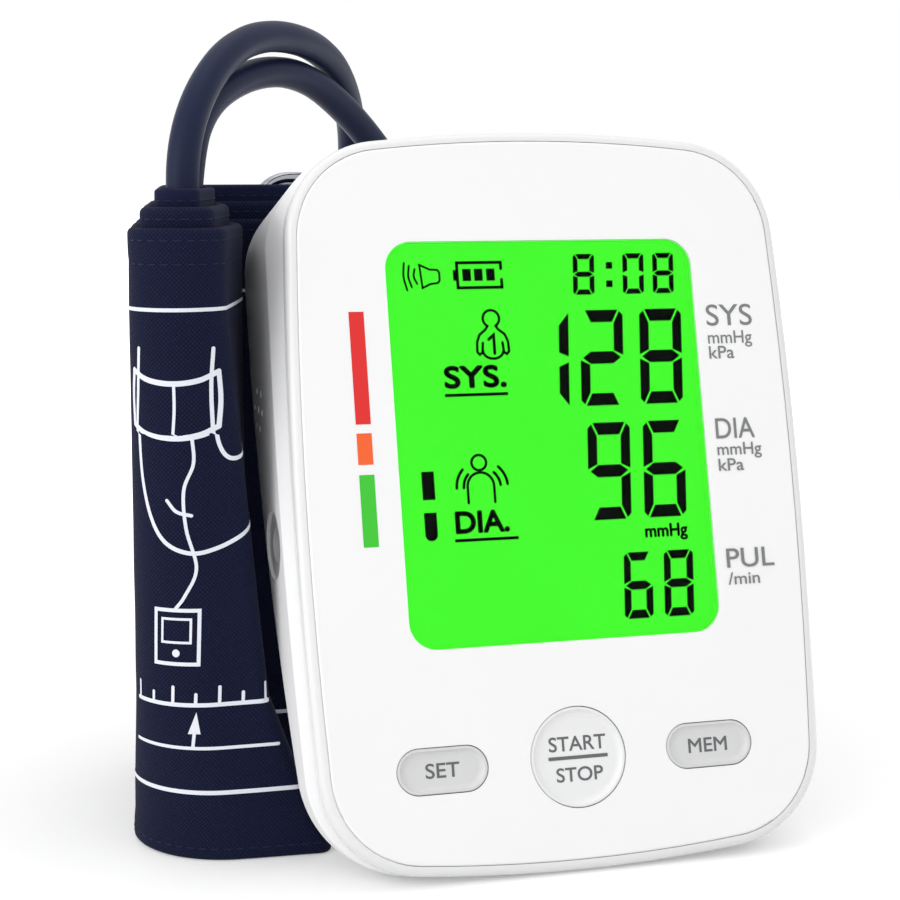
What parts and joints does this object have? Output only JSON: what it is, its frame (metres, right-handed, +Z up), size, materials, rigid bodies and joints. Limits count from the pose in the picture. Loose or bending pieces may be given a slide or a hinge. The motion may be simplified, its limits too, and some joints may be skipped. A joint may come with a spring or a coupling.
{
  "type": "arm blood pressure monitor",
  "caption": "Upper-arm blood pressure monitor leaning back on its foot, with lit display, push buttons, hinged battery door, rolled cuff, D-ring and air hose.",
  "frame": {"origin": "on the table under the middle of monitor and cuff roll, measured without the hose", "axes": "+Z up, +X to the right as the display is read, -Y toward the reader"},
  "size_m": [0.1401, 0.148, 0.1722],
  "materials": {
    "white_shell": "satin",
    "white_face": "gloss",
    "grey_button": "satin",
    "lens": "gloss",
    "lcd_glass": "gloss",
    "light_guide": "satin",
    "frame_plastic": "matte",
    "circuit_board": "satin",
    "chip_black": "matte",
    "steel": "satin",
    "ring_chrome": "mirror",
    "cell_jacket": "satin",
    "grey_rubber": "matte",
    "silicone": "matte",
    "foam": "matte",
    "navy_cloth": "matte",
    "navy_hose": "satin",
    "plug_grey": "satin"
  },
  "bodies": {
    "monitor": {"aa_cells": "cell_jacket", "air_jack": "plug_grey", "air_manifold": "frame_plastic", "air_pump": "steel", "backlight": "light_guide", "battery_contacts": "steel", "battery_springs": "steel", "bleed_valve": "steel", "board_capacitors": "steel", "board_chips": "chip_black", "board_posts": "frame_plastic", "board_screws": "steel", "case_screws": "steel", "display_window": "lens", "face_panel": "white_face", "front_frame": "white_shell", "jack_tube": "silicone", "lcd_holder": "frame_plastic", "lcd_panel": "lcd_glass", "main_board": "circuit_board", "power_board": "circuit_board", "power_socket": "steel", "pressure_sensor": "chip_black", "pump_sleeve": "foam", "pump_tube": "silicone", "push_switches": "chip_black", "rear_housing": "white_shell", "rubber_feet": "grey_rubber", "sensor_tube": "silicone", "speaker": "chip_black", "speaker_gasket": "foam"},
    "cuff": {"air_hose": "navy_hose", "air_plug": "plug_grey", "cuff_inner_wrap": "navy_cloth", "cuff_outer_wrap": "navy_cloth", "cuff_second_wrap": "navy_cloth", "hose_port": "grey_rubber", "ring_loop": "navy_cloth"},
    "start_key": {"start_button": "grey_button"},
    "set_key": {"set_button": "grey_button"},
    "mem_key": {"mem_button": "grey_button"},
    "door": {"battery_door": "white_shell"},
    "ring": {"d_ring": "ring_chrome"}
  },
  "joints": [
    {"name": "cuff_slide", "type": "slide", "parent": "monitor", "child": "cuff", "axis": [0, 1, 0], "range_m": [0, 0.16]},
    {"name": "ring_swing", "type": "hinge", "parent": "cuff", "child": "ring", "pos_m": [-0.03055, 0.0545, 0.06915], "axis": [0, 0, 1], "range_deg": [0, 95]},
    {"name": "battery_door_hinge", "type": "hinge", "parent": "monitor", "child": "door", "pos_m": [0.02275, -0.01093, 0.06147], "axis": [-1, 0, 0], "range_deg": [0, 75]},
    {"name": "start_press", "type": "slide", "parent": "monitor", "child": "start_key", "axis": [0, 0.9673, -0.2538], "range_m": [0, 0.0008], "stiffness_N_per_m": 600},
    {"name": "set_press", "type": "slide", "parent": "monitor", "child": "set_key", "axis": [0, 0.9673, -0.2538], "range_m": [0, 0.0008], "stiffness_N_per_m": 600},
    {"name": "mem_press", "type": "slide", "parent": "monitor", "child": "mem_key", "axis": [0, 0.9673, -0.2538], "range_m": [0, 0.0008], "stiffness_N_per_m": 600}
  ]
}
